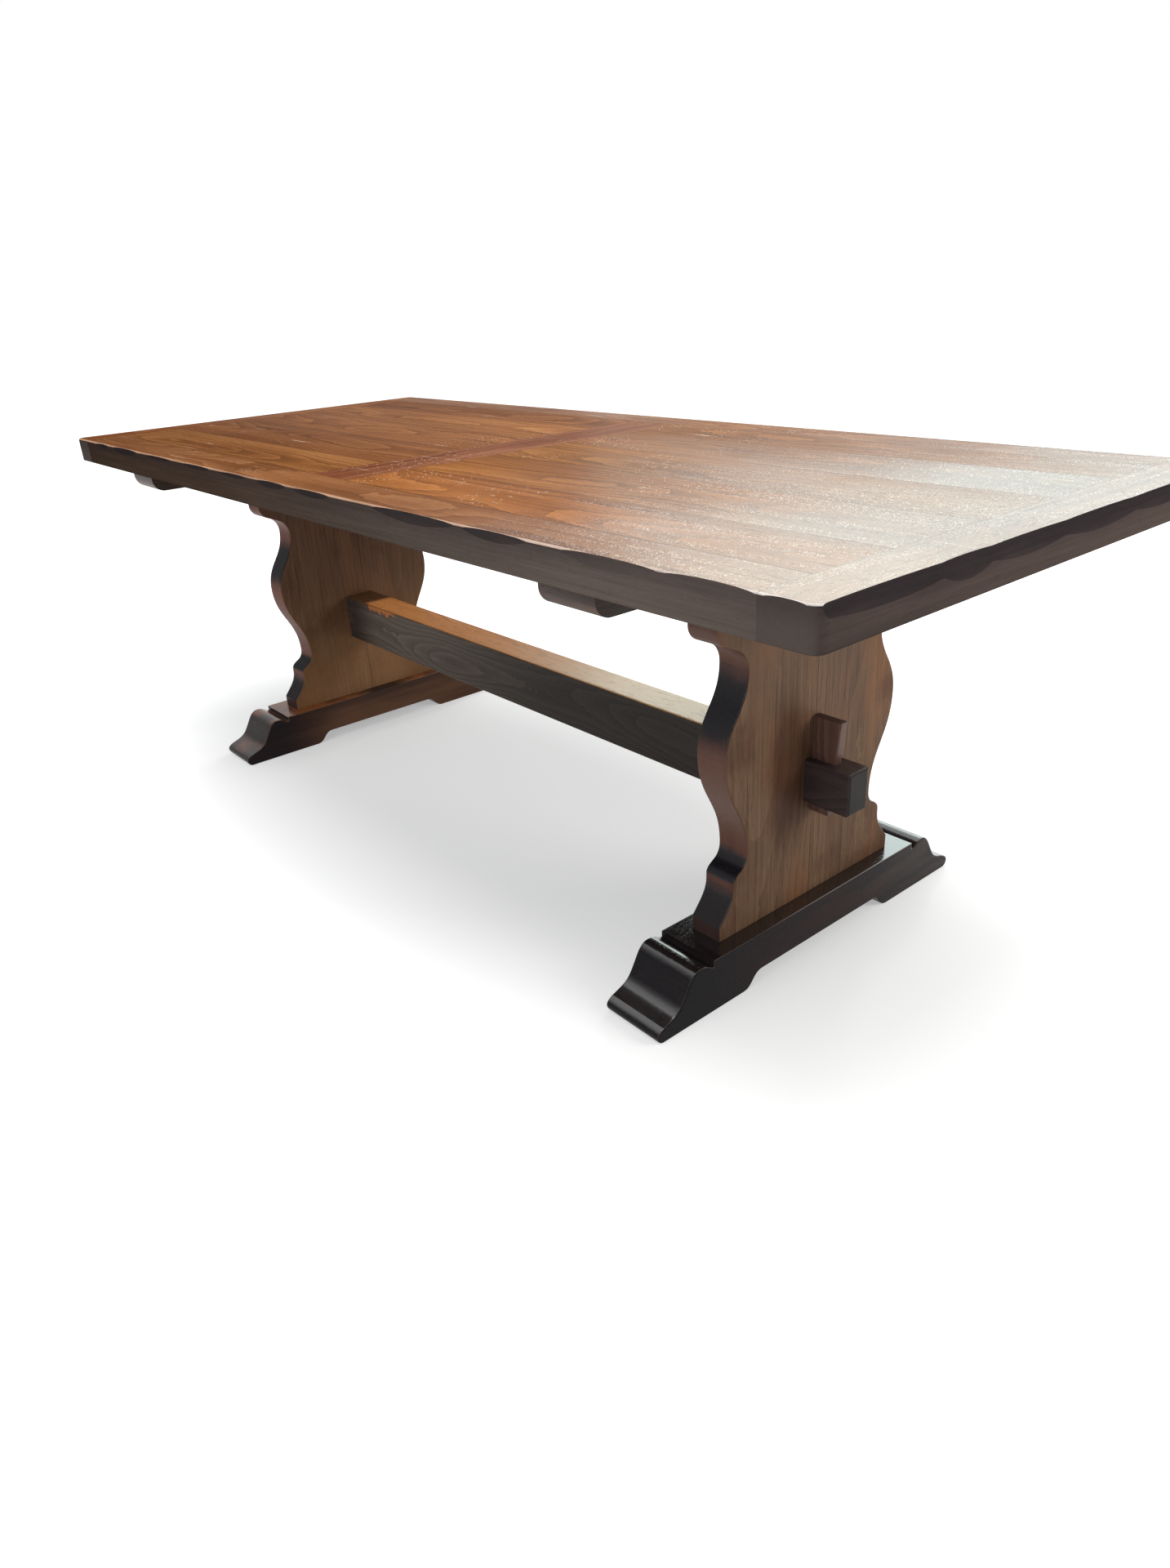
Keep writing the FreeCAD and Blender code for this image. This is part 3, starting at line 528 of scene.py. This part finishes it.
end_tints = [paint(*shade) for shade in plank_shades[1]]
for side, sign in sides:
    for number, (paleness, rubbed_to) in enumerate(zip(plank_paleness[side], plank_rub[side]), start=1):
        node = f"plank_{side}_{number}"
        heart = (0.0, middle_of(node)[1] + 0.02 * math.sin(5.1 * number + sign), 0.70 - 0.012 * number)
        shift = (1.9 * number * sign, 0.37 * number, 0.21 * number)
        shades = plank_shades[(number + (sign > 0)) % len(plank_shades)]
        casts = [cast * paleness for cast in plank_cast[side]]
        tints = [paint(*(step * cast for step, cast in zip(shade, casts))) for shade in shades]
        top_board(node, "X", shift, heart, tints, rubbed_to)
top_board("side_rail_front", "X", shift=(7.3, 0.2, 1.1), heart=(0.0, -0.41, 0.66), tints=rail_tints)
top_board("side_rail_back", "X", shift=(8.9, 1.2, 0.1), heart=(0.0, 0.44, 0.66), tints=rail_tints)
top_board("middle_rail", "Y", shift=(0.9, 3.1, 0.4), heart=(0.01, 0.0, 0.65), tints=middle_tints)
for side, sign in sides:
    top_board(f"end_board_{side}", "Y", shift=(5.1 * sign, 2.6, 0.9), heart=(1.09 * sign, 0.0, 0.64),
              tints=end_tints)
    bare_tongues(f"plank_tongues_{side}", f"plank_tongue_oak_{side}", "X", shift=(0.6, 1.9, 0.2),
                 heart=(0.5 * sign, 0.1, 0.6))

# Bearer screws
# Four steel wood screws hold each bearer to the top, driven from below.
# They are plain turned steel, dulled and a little rusty at the heads.
steel_shades = [(0.4, paint(128, 124, 118)), (0.62, paint(104, 84, 66)), (0.75, paint(92, 58, 38))]
pit_depth = 0.0003
for side, _ in sides:
    steel = Finish(bpy.data.materials.new(f"screw_steel_{side}"))
    rust = steel.noise(steel.put("ShaderNodeTexCoord").outputs["Object"], 260.0, 4.0)
    bump = steel.put("ShaderNodeBump", {"Strength": 0.3, "Distance": pit_depth, "Height": rust})
    values = {"Base Color": steel.ramp(rust, steel_shades), "Metallic": 1.0, "Normal": bump.outputs[0],
              "Roughness": steel.uneven(rust, 0.35, 0.6)}
    surface = steel.put("ShaderNodeBsdfPrincipled", values)
    steel.put("ShaderNodeOutputMaterial", {"Surface": surface.outputs[0]})
    steel.dress(f"bearer_screws_{side}")

# Studio floor and light
# A plain pale floor under soft lamps: a wide window light behind the table, and softer ones round it.
# The floor takes the shadow; its glow is weaker near the table, which paints a wide shade round it, and
# further off it runs out to plain white.
floor_reach = 40.0
floor_grey = (0.62, 0.62, 0.62, 1.0)
glow_under_table, glow_far_off = 0.325, 1.0
sky_as_light, sky_as_seen = 0.36, 1.0
white, black = (1.0, 1.0, 1.0, 1.0), (0.0, 0.0, 0.0, 1.0)


def in_sight(finish):
    """One where a ray comes from the eye or from a mirror, and nought where it only gathers light."""
    rays = finish.put("ShaderNodeLightPath").outputs
    seen = finish.calc("ADD", rays["Is Camera Ray"], rays["Is Glossy Ray"], clamp=True)
    return finish.calc("ADD", seen, rays["Is Transmission Ray"], clamp=True)


floor_mesh = bpy.data.meshes.new("floor")
plane = bmesh.new()
bmesh.ops.create_grid(plane, x_segments=1, y_segments=1, size=floor_reach)
plane.to_mesh(floor_mesh)
plane.free()
floor = bpy.data.objects.new("floor", floor_mesh)
bpy.context.scene.collection.objects.link(floor)
pale = Finish(bpy.data.materials.new("floor_white"))
place = pale.put("ShaderNodeTexCoord").outputs["Object"]
from_table = pale.put("ShaderNodeMapping", {"Vector": place, "Scale": (0.85, 2.2, 1.0)}).outputs[0]
# Less glow near the table: painted shade on the floor.
glow_strength = pale.fade(pale.length(from_table), 0.4, 2.4, glow_under_table, glow_far_off)
glow = pale.put("ShaderNodeEmission", {"Color": white, "Strength": glow_strength})
dark = pale.put("ShaderNodeEmission", {"Color": black, "Strength": 0.0})
glow = pale.put("ShaderNodeMixShader", {0: in_sight(pale), 1: dark.outputs[0], 2: glow.outputs[0]})
matt = pale.put("ShaderNodeBsdfDiffuse", {"Color": floor_grey})
both = pale.put("ShaderNodeAddShader", {0: matt.outputs[0], 1: glow.outputs[0]})
pale.put("ShaderNodeOutputMaterial", {"Surface": both.outputs[0]})
floor_mesh.materials.append(pale.owner)

world = bpy.data.worlds.new("studio")
bpy.context.scene.world = world
studio = Finish(world)
sky_strength = studio.fade(in_sight(studio), 0.0, 1.0, sky_as_light, sky_as_seen)
sky = studio.put("ShaderNodeBackground", {"Color": white, "Strength": sky_strength})
studio.put("ShaderNodeOutputWorld", {"Surface": sky.outputs[0]})


def lamp(name, place, aim, width, height, watts, tint, mirrored=True):
    """A soft box at a place, turned to its aim; not every one of them is mirrored in the varnish."""
    light = bpy.data.lights.new(name, "AREA")
    light.shape = "RECTANGLE"
    light.size, light.size_y, light.energy, light.color = width, height, watts, tint
    holder = bpy.data.objects.new(name, light)
    bpy.context.scene.collection.objects.link(holder)
    holder.location = place
    holder.rotation_euler = (Vector(place) - Vector(aim)).to_track_quat("Z", "Y").to_euler()
    holder.visible_camera = False
    holder.visible_glossy = mirrored


lamp("overhead_light", place=(0.1, 0.1, 4.3), aim=(0.1, 0.1, 0.0),
     width=3.2, height=3.2, watts=115.0, tint=(1.0, 1.0, 1.0))
lamp("window_light", place=(-2.3, 4.5, 2.6), aim=(-2.3, 0.0, 2.1),
     width=5.8, height=2.4, watts=98.0, tint=(0.82, 1.0, 0.95))
lamp("low_back_light", place=(-1.6, 4.2, 2.35), aim=(0.0, 0.0, 0.35),
     width=0.7, height=0.5, watts=34.0, tint=(1.0, 0.97, 0.93), mirrored=False)
lamp("side_light", place=(3.4, 1.9, 1.7), aim=(0.5, 0.0, 0.5),
     width=1.8, height=1.8, watts=75.0, tint=(1.0, 0.98, 0.95), mirrored=False)
lamp("front_light", place=(0.9, -4.2, 2.2), aim=(0.3, 0.0, 0.5),
     width=2.6, height=2.6, watts=75.0, tint=(0.96, 0.98, 1.0))

# Camera
# At the height of a person leaning in, off the right end of the front side.
# It looks down along the table, a little tilted.
camera_place = (1.725273, -1.248837, 1.055098)
camera_turns = (64.35919, 2.91767, 49.68859)
camera = bpy.data.cameras.new("camera")
camera.sensor_fit = "VERTICAL"
camera.sensor_height = 36.0
camera.lens = 24.126
viewer = bpy.data.objects.new("camera", camera)
bpy.context.scene.collection.objects.link(viewer)
turned = Euler([math.radians(turn) for turn in camera_turns])
viewer.matrix_world = Matrix.LocRotScale(Vector(camera_place), turned, None)
bpy.context.scene.camera = viewer
bpy.context.scene.view_settings.view_transform = "Standard"
